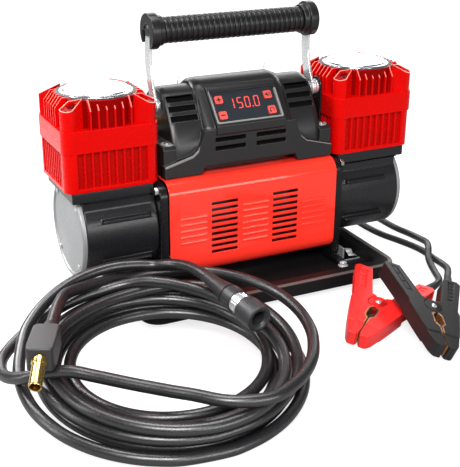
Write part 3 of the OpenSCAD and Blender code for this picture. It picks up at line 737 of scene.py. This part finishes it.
def make_head_screws():
    """A recessed cap screw at the bottom of each post's hole."""
    bm = bmesh.new()
    for side in (-1, 1):
        for quarter in quarters():
            at = quarter @ SOCKET + Vector((side * STACK_X, 0, 0))
            turned(bm, [(-7, 0), (-7, 3.3), (-4.6, 3.3), (-4.1, 2.8), (-4.1, 1.7), (-6, 1.6), (-6, 0)],
                   frame_at(at * MM, quarter.to_3x3() @ FACET), 24)
    settle(solid("head_cap_screws", bm), "can_dark", ("head_screws",))


def make_discs():
    bm, seals = bmesh.new(), bmesh.new()
    for side in (-1, 1):
        place = shift(side * STACK_X, 0, 0)
        turned(bm, [(199, 0), (199, 34.6), (203.4, 34.6), (204.4, 34.1), (204.9, 33), (205.0, 31.4), (205.9, 30.6),
                    (206.2, 29.5), (206.2, 0)], place, 96)
        turned(seals, [(199, 34.5), (199, 37.1), (203.9, 37.1), (204.3, 36.2), (203.9, 34.5), (199, 34.5)], place, 96)
    settle(shaded("head_disc_caps", bm), "disc_chrome", ("head_discs",))
    settle(shaded("head_disc_seals", seals), "gland_rubber")


SHADE = {"grain": 420, "depth": 0.006}
# painted shade: a darker red for the head's core between the fins and the floors of the facets
PAINTED_SHADE_RED = finish("head_painted_shade", (0.2, 0.001, 0.001), 0.3, specular=0.3, tint=(1, 0.05, 0.04), **SHADE)
# painted shade: a darker red for the flutes between the cylinder's ridges
FLUTE_PAINTED_SHADE = finish("flute_painted_shade", (0.36, 0.0015, 0.001), 0.24, tint=(1, 0.1, 0.08), **SHADE)
# painted highlight: a pale pink for the head's edges that catch the light
PAINTED_HIGHLIGHT_PINK = finish("head_painted_highlight", (0.93, 0.22, 0.17), 0.25, grain=420, depth=0.004, drift=0.1)
PARTS = make_post()
for side, name in SIDES:
    make_head(side, name, *PARTS)
    make_cylinder(side, name)
for part in PARTS:
    bpy.data.objects.remove(part)
make_head_screws()
make_discs()


# ---------- control housing and panel ----------

def both_ends(*stations):
    """Loft stations written for one end, with their mirror images for the other."""
    return [(-x, scale) for x, scale in reversed(stations)] + list(stations)


def make_housing():
    """A hump between two wings, a block for the panel, an apron and two end tabs, with vents and a recess cut in."""
    middle = (5, 150)
    hump = [(-39.8, 127), (-39.8, 161), (-37.5, 166.5), (-14, 194), (-8, 199.5), (-3, 202), (4, 203.4), (12, 203),
            (20, 200.5), (34, 192), (43, 172), (44, 120.6), (-30, 120.6), (-30, 127)]
    ends = both_ends((38, 1), (41, 0.995), (43.8, 0.978), (45.6, 0.955), (47, 0.925))
    piece = plain("control_housing_finished", made(loft, hump, ends, middle))
    wing = [(-37, 127), (-37, 152), (-29.5, 167), (-15.5, 189), (-8, 195.5), (0, 198.3), (8, 198.3), (16, 196.5),
            (26, 192.5), (32, 188), (42, 168), (43, 120.8), (-25, 120.8), (-25, 127)]
    ends = both_ends((73, 1), (75.5, 0.994), (77.8, 0.978), (79.3, 0.955), (80, 0.93))
    combine(piece, made(loft, wing, ends, middle), "UNION")
    block = [(-36, 156.5), (-42.4, 158.3), (-42.4, 166.6), (-40.3, 168.7), (-16, 196.6), (-11, 199), (-9, 185)]
    combine(piece, made(prism, block, -37.2, 37.2, "X"), "UNION")
    half = [(91, 121), (91, 133.4), (62, 141), (55.5, 146.5), (51.5, 156), (49, 163.5)]
    apron = half + [(-x, z) for x, z in reversed(half)] + [(-52.5, 121), (-49.5, 128.2), (49.5, 128.2), (52.5, 121)]
    combine(piece, made(prism, apron, -41, -33, "Y"), "UNION")
    tab = [(-38.6, 121.2), (-38.6, 148.5), (-35.5, 151.9), (42.8, 151.9), (42.8, 121.2)]
    cuts = bmesh.new()
    for s in (-1, 1):
        combine(piece, made(prism, tab, *span(s, 78, 90.9), "X"), "UNION")
        for z in (171, 179.2, 187.4):
            prism(cuts, box_outline(*span(s, 49.5, 76.5), -60, -4), z, z + 4.8)
        for z in (144.5, 153):
            prism(cuts, box_outline(*span(s, 6, 38), -60, -28), z - 1.9, z + 1.9)
    prism(cuts, circle_outline(9.5, (0, 138), 32), 38, 60, "Y")
    combine(piece, cuts)
    combine(piece, made(on_panel, box_outline(-34, 34, -16, 16), -9, 6))
    settle(polished(piece, 0.8, 2, 30), "housing_black", ("control_housing",))


def make_housing_trim():
    """Dull near-black screens of painted shade behind the vents, a pale bead of painted highlight along the apron's
    ridge and washers under the corner screws.
    """
    # the screens are a dull near-black: painted shade inside the vents
    screens = bmesh.new()
    for s in (-1, 1):
        prism(screens, [(-25.1, 170), (-12.4, 190), (-4.5, 190), (-4.5, 170)], *span(s, 49, 77), "X")
        prism(screens, box_outline(*span(s, 5.5, 38.5), 142, 155.4), -37.4, -28.5, "Y")
    settle(solid("vent_shade_screens", screens), "housing_black", look=VENT_PAINTED_SHADE)
    bead, washers = bmesh.new(), bmesh.new()
    ridge = [(90.6, 133.2), (62, 140.8), (56.2, 145.6), (54.6, 148.6)]
    # the bead's pale grey paints the ridge's highlight: wide on the left, where the light falls, and thin on the right
    for s, wide in ((-1, 2.3), (1, 0.9)):
        inner = [(s * (x - 0.25 * wide), z - wide) for x, z in ridge[:-1]]
        outline = [(s * x, z) for x, z in ridge] + inner[::-1]
        prism(bead, outline, -41.35, -40.3, "Y")
        turned(washers, [(151.7, 0), (151.7, 6.3), (152.6, 6.1), (152.6, 0)], shift(s * 83.5, -30, 0), 32)
    settle(solid("apron_ridge_highlight", bead, 0.2, 1), "housing_black", look=PAINTED_EDGE_HIGHLIGHT)
    settle(solid("corner_washers", washers), "cap_grey")


PANEL = shift(0, -27.8, 180.4) @ spin(49.7, "X")


def on_panel(bm, outline, low, high):
    """An outline on the sloping panel, extruded between two heights above it."""
    prism(bm, outline, low, high, matrix=PANEL)


def bar(bm, a, b, width, low, high):
    """A flat bar with pointed ends from a to b, as in a segment display."""
    a, b = Vector(a), Vector(b)
    along = (b - a).normalized()
    across = Vector((-along.y, along.x)) * width / 2
    tip = along * width / 2
    points = [a, a + tip + across, b - tip + across, b, b - tip - across, a + tip - across]
    on_panel(bm, [tuple(p) for p in points], low, high)


SEGMENTS = {"1": "bc", "5": "afgcd", "0": "abcdef"}


def make_digits():
    bm = bmesh.new()
    half_w, half_h, middle, slant = 2.3, 5.3, 3.2, 0.06
    lit = (-1.2, -0.85)

    def corner(cx, x, y):
        return cx + x * half_w + y * half_h * slant, middle + y * half_h

    ends = {"a": ((-1, 1), (1, 1)), "b": ((1, 1), (1, 0)), "c": ((1, 0), (1, -1)), "d": ((-1, -1), (1, -1)),
            "e": ((-1, 0), (-1, -1)), "f": ((-1, 1), (-1, 0)), "g": ((-1, 0), (1, 0))}
    for digit, cx in (("1", -14.1), ("5", -5.0), ("0", 3.0), ("0", 13.0)):
        for segment in SEGMENTS[digit]:
            first, last = (corner(cx, *spot) for spot in ends[segment])
            bar(bm, first, last, 1.0, *lit)
    on_panel(bm, circle_outline(0.7, (7.8, middle - half_h + 0.2), 10), *lit)
    settle(solid("display_digits", bm), "key_coral", look=GLOW_CORAL)


def arc_band(bm, centre, radius, width, first, last, low, high):
    outer = ring_points(centre, radius + width / 2, first, last)
    on_panel(bm, outer + ring_points(centre, radius - width / 2, last, first), low, high)


def make_keys():
    """Four keys, each with its sign standing just above the cap."""
    low, high = -0.2, 0.06
    for key, u, v in (("plus", -26.4, 8.2), ("minus", -26.4, -8.2), ("light", 26.4, 8.2), ("reset", 26.4, -8.2)):
        cap = made(on_panel, rounded_outline(8.4, 8.4, 1.5, (u, v), 4), -4, 0)
        on_panel(cap, circle_outline(1.5, (u, v), 16), -5.4, -3.9)
        settle(solid(key + "_key_cap", cap, 0.25), "key_coral", (key + "_key",), key + "_key")
        mark = bmesh.new()
        if key in ("plus", "minus"):
            on_panel(mark, box_outline(u - 2.4, u + 2.4, v - 0.6, v + 0.6), low, high)
        if key == "plus":
            on_panel(mark, box_outline(u - 0.6, u + 0.6, v - 2.4, v + 2.4), low, high)
        if key == "light":
            on_panel(mark, [(u - 2.9, v - 0.8), (u - 1.5, v - 0.8), (u + 0.3, v - 2.5), (u + 0.3, v + 2.5),
                            (u - 1.5, v + 0.8), (u - 2.9, v + 0.8)], low, high)
            for radius in (2.0, 3.3):
                arc_band(mark, (u - 0.4, v), radius, 0.55, -48, 48, low, high)
        if key == "reset":
            arc_band(mark, (u, v), 2.1, 0.75, -40, 215, low, high)
            on_panel(mark, [(u - 3.3, v - 1.1), (u - 0.5, v - 1.0), (u - 2.0, v - 3.1)], low, high)
        settle(solid(key + "_key_mark", mark), "window_black", body=key + "_key")


def make_display_edge_highlight():
    # a pale frame round the window: painted highlight where the housing's edge catches the light
    piece = plain("display_edge_highlight", made(on_panel, rounded_outline(72, 36, 2.2, steps=4), -1.2, 2.5))
    hole = made(on_panel, rounded_outline(67.4, 31.4, 1.2, steps=4), -6, 6)
    on_panel(hole, box_outline(-34.6, 40, 14, 22), -6, 6)
    settle(polished(combine(piece, hole), 0.75, 1, 40), "housing_black", look=PAINTED_EDGE_HIGHLIGHT)


GLOW_CORAL = finish("digit_glow", (0.75, 0.06, 0.045), 0.5, glow=0.18)
# painted highlight: a pale grey for edges that catch the light, on the window's frame and the apron's ridge
PAINTED_EDGE_HIGHLIGHT = finish("edge_painted_highlight", (0.2, 0.195, 0.185), 0.32, grain=1200, depth=0.03)
# painted shade: a dull near-black for the inside of the vents
VENT_PAINTED_SHADE = finish("vent_painted_shade", (0.002, 0.002, 0.002), 0.8, specular=0.05)
make_housing()
make_housing_trim()
make_display_edge_highlight()
make_digits()
make_keys()


# ---------- covers ----------

def make_louvres(name, turn):
    bm = bmesh.new()
    for x, z, rows in ((-67, 83, 5), (-0.5, 88, 7), (66, 81, 5)):
        for i in range(rows):
            at = z - i * 6.25
            prism(bm, [(-52.5, at - 1.7), (-53.9, at - 1.3), (-53.9, at + 0.2), (-53.0, at + 1.8), (-52.5, at + 1.8)],
                  x - 14, x + 14, "X", matrix=turn)
    settle(solid(name, bm, 0.35), "cover_red")


make_louvres("front_louvres", Matrix())
make_louvres("rear_louvres", spin(180, "Z"))

# ---------- castings that keep the CAD's own shape ----------

for node, bevel in (
        ("base_tray", 1.2), ("side_plates", 1.0), ("front_cover", 0.5), ("rear_cover", 0.5), ("left_crankcase", 1.5),
        ("right_crankcase", 1.5), ("handle_pivots", 0.4), ("handle_arms", 0.5), ("grip_caps", 0.9),
        ("case_screws", 0.4)):
    rounded_copy(node, bevel)


def make_grip():
    """The rubber grip: twenty-seven rounded rings with narrow grooves between them."""
    half, count = 74, 27
    pitch = 2 * half / count
    profile = [(-half, 0)]
    for k in range(count):
        at = -half + k * pitch
        profile += [(at + 0.1, 11.1), (at + 0.7, 11.2), (at + 1.1, 12.2), (at + 1.9, 12.5), (at + pitch - 1.5, 12.5),
                    (at + pitch - 0.8, 12.2), (at + pitch - 0.4, 11.2)]
    profile += [(half, 11.1), (half, 0)]
    rings = made(turned, profile, shift(0, 4, 252) @ spin(90, "Y"))
    settle(shaded("handle_grip_rings", rings, 30), "grip_rubber", ("handle_grip",), "handle")


make_grip()


# ---------- battery clamps ----------

CLAMP_POSES = {"red": ((19, -212, 9.1), 39, 3.8, 9), "black": ((74, -266, 10.2), 66, 9, 20)}
CLAMP_HALF = 7.5  # half the width of a clamp
PIVOT = (60, 0)  # from the tip of the nose


def clamp_matrix(colour, flip):
    tip, yaw, pitch, roll = CLAMP_POSES[colour]
    turn = spin(yaw, "Z") @ spin(-pitch, "Y") @ spin(roll, "X")
    return shift(*tip) @ turn @ Matrix.Diagonal((1, -1 if flip else 1, 1, 1))


def clamp_half(name, colour, body, flip, node):
    """One moulded half: a square nose, a body with a window, and a grip; the fixed half carries the cheeks."""
    jaw = [(0, 2.2), (0, 7.6), (1.5, 9.6), (6, 12.3), (30, 19.2), (56, 25.8), (62, 25.2), (112, 40.6), (116.4, 37.6),
           (115.6, 23.6), (72, 9.5), (70, 4.8), (60, 0.6), (50, 0.6), (46.5, 4.8), (34, 5), (29.5, 0.8), (3, 0.8)]
    cut = bmesh.new()
    for s in (-1, 1):
        # the nose is a little narrower than the body, and the grip has a sunken panel
        prism(cut, [(-4, -4), (21, -4), (17, 30), (-4, 30)], *span(s, CLAMP_HALF - 0.9, CLAMP_HALF + 2))
        prism(cut, [(76, 18.4), (111, 27.4), (111.6, 33.8), (76, 24)], *span(s, CLAMP_HALF - 0.8, CLAMP_HALF + 2))
        if not flip:
            prism(cut, circle_outline(10, PIVOT), *span(s, 2.6, CLAMP_HALF + 2))
    if flip:
        prism(cut, circle_outline(7, PIVOT), -2.7, 2.7)
    along = Vector((53, 15)).normalized()
    outward = Vector((-along.y, along.x))
    for k in range(3 if flip or colour == "red" else 0):
        first = Vector((66, 27)) + along * (3 + 15.5 * k)
        slot = [first + along * a + outward * b for a, b in ((0, 2), (12.5, 2), (12.5, -0.75), (0, -0.75))]
        prism(cut, [tuple(p) for p in slot], -4.6, 4.6)
    half = from_piece(combine(plain(name, made(prism, jaw, -CLAMP_HALF, CLAMP_HALF)), cut))
    # bars on the sunken panel: their number, the first one's corner, the step to the next, width, rise and height
    count, corner, step, wide, rise, tall = 5, (80, 20.6), (6.4, 1.72), 1.6, 0.4, 4.2
    if colour == "black" and not flip:
        count, corner, step, wide, rise, tall = 3, (77.5, 20), (11.4, 3.05), 9.4, 2.4, 4
    for s in (-1, 1):
        for k in range(count):
            x, y = corner[0] + step[0] * k, corner[1] + step[1] * k
            prism(half, [(x, y), (x + wide, y + rise), (x + wide, y + rise + tall), (x, y + tall)],
                  *span(s, CLAMP_HALF - 1.2, CLAMP_HALF - 0.1))
    if flip:
        for low, high in ((2.8, CLAMP_HALF), (-CLAMP_HALF, -2.8)):
            prism(half, circle_outline(9.4, PIVOT, 36), low, high)
    else:
        prism(half, circle_outline(6.4, PIVOT, 28), -2.4, 2.4)
    half.transform(clamp_matrix(colour, flip))
    if flip:
        bmesh.ops.reverse_faces(half, faces=half.faces)
    return settle(solid(name, half, 0.55, 2, 30), "clamp_" + colour, (node,), body)


def clamp_teeth(name, colour, body, flip):
    """The toothed copper strip inside one half, with a lip round the window."""
    outline = []
    for k in range(10):
        outline += [(2.5 + 2.9 * k, 0.9), (3.95 + 2.9 * k, 0.15)]
    outline += [(30, 2.4), (2.5, 2.4)]
    matrix = clamp_matrix(colour, flip)
    bm = made(prism, outline, -5.6, 5.6, matrix=matrix)
    prism(bm, [(20, 0.5), (29.6, 0.5), (34.2, 4.2), (46, 4), (49.2, 1), (49.6, 2.2), (46.8, 5.5), (33.8, 5.7),
               (28.6, 2), (20, 1.6)], -CLAMP_HALF - 0.15, CLAMP_HALF + 0.15, matrix=matrix)
    settle(solid(name, bm, 0.12, 1), "winding_copper", body=body, look=TEETH)
    if flip:
        plate = made(prism, [(32.5, -3.8), (46.5, -3.8), (46.5, 3.5), (33.5, 3.5)], -1.5, 1.5, matrix=matrix)
        settle(solid(colour + "_clamp_inner", plate, 0.2, 1), "brush_board", look=INNER_BROWN)


def clamp_rivet(colour):
    """The rivet through both halves."""
    half = [(7.5, 2), (7.5, 2.7), (7.8, 2.7), (8.5, 2.1), (8.8, 1.1), (8.8, 0)]
    profile = [(-along, radius) for along, radius in reversed(half)] + half
    bm = made(turned, profile, clamp_matrix(colour, False) @ shift(*PIVOT, 0), 32)
    return settle(shaded(colour + "_clamp_rivet", bm), "bright_steel")


INNER_BROWN = finish("clamp_inner", (0.03, 0.008, 0.004), 0.5)
TEETH = finish("clamp_teeth", (0.86, 0.52, 0.28), 0.3, metal=1, grain=600, drift=0.3)
CLAMPS = {}
for colour in ("red", "black"):
    CLAMPS[colour] = [
        clamp_half(colour + "_clamp_half", colour, "machine", True, colour + "_clamp_fixed"),
        clamp_half(colour + "_clamp_moving", colour, colour + "_jaw", False, colour + "_clamp_jaw")]
    clamp_teeth(colour + "_clamp_teeth", colour, "machine", True)
    clamp_teeth(colour + "_clamp_jaw_teeth", colour, colour + "_jaw", False)
    rivet = clamp_rivet(colour)
    CLAMPS[colour].append(rivet)
    if colour == "red":
        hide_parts("clamp_pivots")


def lead_boot(colour, route):
    """A tapered strain relief where the lead enters its clamp."""
    end, before = Vector(route[-1]), Vector(route[-2])
    profile = [(-2, 0), (-2, 5.2), (3, 5.1)]
    for k in range(4):
        at = 4.5 + 3.4 * k
        wide = 4.9 - 0.28 * k
        profile += [(at, wide), (at + 1.4, wide), (at + 1.7, wide - 0.55), (at + 2.8, wide - 0.55)]
    profile += [(19.5, 3.75), (20, 3.4), (20, 0)]
    boot = made(turned, profile, frame_at(end * MM, before - end), 28)
    return settle(shaded(colour + "_lead_boot", boot), "gland_rubber")


BOOTS = {"red": lead_boot("red", RED_END), "black": lead_boot("black", BLACK_END)}


# ---------- hose fittings ----------

def knurl(bm, matrix, low, high, radius, count, depth):
    """Raised bars round a barrel."""
    for k in range(count):
        half = pi * radius / count * 0.55
        prism(bm, [(radius - 0.6, -half), (radius + depth, -half * 0.6), (radius + depth, half * 0.6),
                   (radius - 0.6, half)], low, high, matrix=matrix @ spin(360 * k / count, "Z"))


def make_connector():
    """The hose's plug: a moulded taper, a ribbed barrel, a bright collar and a knurled socket."""
    matrix = shift(*HOSE_START[0]) @ spin(-82, "Z") @ spin(5.6, "Y") @ spin(90, "Y")
    body = made(turned, [(-5, 0), (-5, 5.15), (-3, 5.6), (12, 6.6), (22, 8.4), (27, 9.3), (29, 9.6), (29, 8.4),
                         (30.4, 8.4), (30.4, 9.7), (31, 10.1), (41.5, 10.3), (42.2, 9.8), (42.2, 0)], matrix)
    knurl(body, matrix, 31.5, 41, 10.0, 16, 0.3)
    barrel = settle(shaded("hose_connector_barrel", body), "fitting_black", ("hose_connector",))
    collar = made(turned, [(42, 0), (42, 8.6), (43, 9), (52.5, 9), (53.2, 8.4), (53.2, 0)], matrix)
    for k in range(3):
        turn = Matrix.Rotation(2 * pi * k / 3 + 0.4, 4, "Z")
        prism(collar, box_outline(8.2, 9.5, -3.2, 3.2), 44.6, 51, matrix=matrix @ turn)
    ring = settle(solid("hose_connector_collar", collar, 0.25, 1, 40), "bright_steel")
    socket = made(turned, [(53, 0), (53, 10.2), (54, 11.2), (56, 11.5), (73, 11.6), (74.2, 11), (74.6, 10),
                           (74.2, 8.2), (72.5, 6.4), (71, 6), (57, 6), (57, 0)], matrix, 56)
    knurl(socket, matrix, 57, 71.5, 11.3, 34, 0.35)
    mouth = settle(shaded("hose_connector_socket", socket), "fitting_black")
    return [barrel, ring, mouth]


def make_chuck():
    """The chuck that pushes onto a valve: a block with a waisted top, a hose boot and a brass nozzle."""
    matrix = shift(-258, -200, 61.8) @ spin(-115, "Z")
    outline = [(-21, -8), (-17.5, -10.6), (12, -11), (19, -10.2), (21, -8.4), (21, 8.4), (19, 10.2), (12, 11),
               (-17.5, 10.6), (-21, 8)]
    block = from_piece(solid("tyre_chuck_block", made(prism, outline, -9.8, 9.8, matrix=matrix), 1.6, 3, 40))
    back = matrix @ shift(-20, 0, 0) @ spin(-90, "Y")
    turned(block, [(-1, 0), (-1, 8.2), (1, 8), (7, 6.4), (14, 5.6), (15, 5.1), (15, 0)], back, 40)
    piece = settle(shaded("tyre_chuck_block", block), "fitting_black", ("tyre_chuck",))
    out = matrix @ shift(20, 0, 0) @ spin(110, "Y")
    nozzle = made(turned, [(0, 0), (0, 6.1), (4.5, 6.1), (5.2, 5.6), (6, 5.2), (24.6, 5.2), (25.6, 5), (26, 4.6),
                           (25.6, 4.1), (24.5, 3.9), (12, 3.9), (12, 0)], out)
    knurl(nozzle, out, 0.6, 4.2, 5.7, 24, 0.3)
    turned(nozzle, [(11.5, 0), (11.5, 1.2), (20, 1.2), (20.6, 0.8), (20.6, 0)], out, 20)
    tube = settle(shaded("tyre_chuck_nozzle", nozzle), "brass")
    return [piece, tube]


make_connector() + make_chuck()


# ---------- end caps, brackets and bolts ----------

def make_end_caps():
    bm = bmesh.new()
    for s in (-1, 1):
        out = shift(s * 171.5, 0, 71.5) @ spin(s * 90, "Y")
        turned(bm, [(0, 0), (0, 47.4), (2.4, 47.4), (3.6, 47.0), (4.4, 46.2), (4.5, 44.6), (4.1, 43.8), (3.0, 43.4),
                    (2.5, 42.9), (2.5, 42.3), (3.0, 41.9), (3.2, 36), (3.3, 0)], out, 96)
    cap = plain("drum_end_caps", bm)
    cut = bmesh.new()
    for s in (-1, 1):
        prism(cut, box_outline(*span(s, 165, 190), -60, 60), 108.4, 130)
    settle(shaded("drum_end_caps", from_piece(combine(cap, cut))), "cap_grey", ("end_caps",))


def make_brackets():
    """Bent plated angles that hold the machine to the tray, with dark gussets set between their bright edges."""
    angles, gussets = bmesh.new(), bmesh.new()
    bend = [(100, 8), (121, 8), (121, 9.6), (103, 9.6), (101.6, 11), (101.6, 23), (100, 23)]
    gusset = [(100.4, 8.5), (120.6, 8.5), (119, 11), (108, 12.8), (101.6, 22.6), (100.4, 22.6)]
    for quarter in quarters():
        prism(angles, bend, 40.8, 59.2, "Y", quarter)
        for near in (41.2, 57.6):
            prism(gussets, gusset, near, near + 1.2, "Y", quarter)
    settle(solid("tray_brackets", angles, 0.3), "bright_steel", ("mount_brackets",))
    settle(solid("bracket_gussets", gussets, 0.2, 1), "zinc", look=DARK_PLATE)


def make_tray_rim_highlight():
    """A pale strip round the top of the tray's rim, a painted highlight along its edge."""
    ring = plain("tray_rim_highlight", made(prism, rounded_outline(274, 213, 17.5), 18.4, 19.5))
    combine(ring, made(prism, rounded_outline(265, 204, 13), 17, 21))
    settle(solid("tray_rim_highlight", from_piece(ring), 0.4), "tray_black", look=TRAY_PAINTED_HIGHLIGHT)


def make_tray_bolts():
    """Hex bolts with a lock washer over a wide flat washer."""
    bm = bmesh.new()
    spots = [(quarter, *spot) for spot in ((111, 50, 10, 1.0), (95, 68, 8, 0.72)) for quarter in quarters()]
    for quarter, x, y, z, size in spots:
        at = shift(*(quarter @ Vector((x, y, z)))) @ Matrix.Scale(size, 4)
        turned(bm, [(0, 0), (0, 7), (0.3, 7.2), (1.0, 7.2), (1.2, 7), (1.2, 4.9), (1.5, 5.2), (2.4, 5.2), (2.7, 4.9),
                    (2.7, 0)], at, 36)
        prism(bm, ring_points((0, 0), 5.5, 12, 312, 5), 2.6, 6.0, matrix=at)
        turned(bm, [(5.9, 0), (5.9, 4.5), (6.6, 3.4), (6.9, 0)], at, 24)
    settle(solid("tray_bolts", bm, 0.25, 2, 35), "zinc", ("base_bolts",))


DARK_PLATE = finish("dark_plate", (0.03, 0.03, 0.032), 0.15, metal=0.9, grain=300)
# painted highlight: a pale grey for the top edge of the tray's rim
TRAY_PAINTED_HIGHLIGHT = finish("tray_painted_highlight", (0.09, 0.085, 0.08), 0.3)
make_end_caps()
make_brackets()
make_tray_rim_highlight()
make_tray_bolts()


def flat(box):
    return [list(corner) for corner in box]
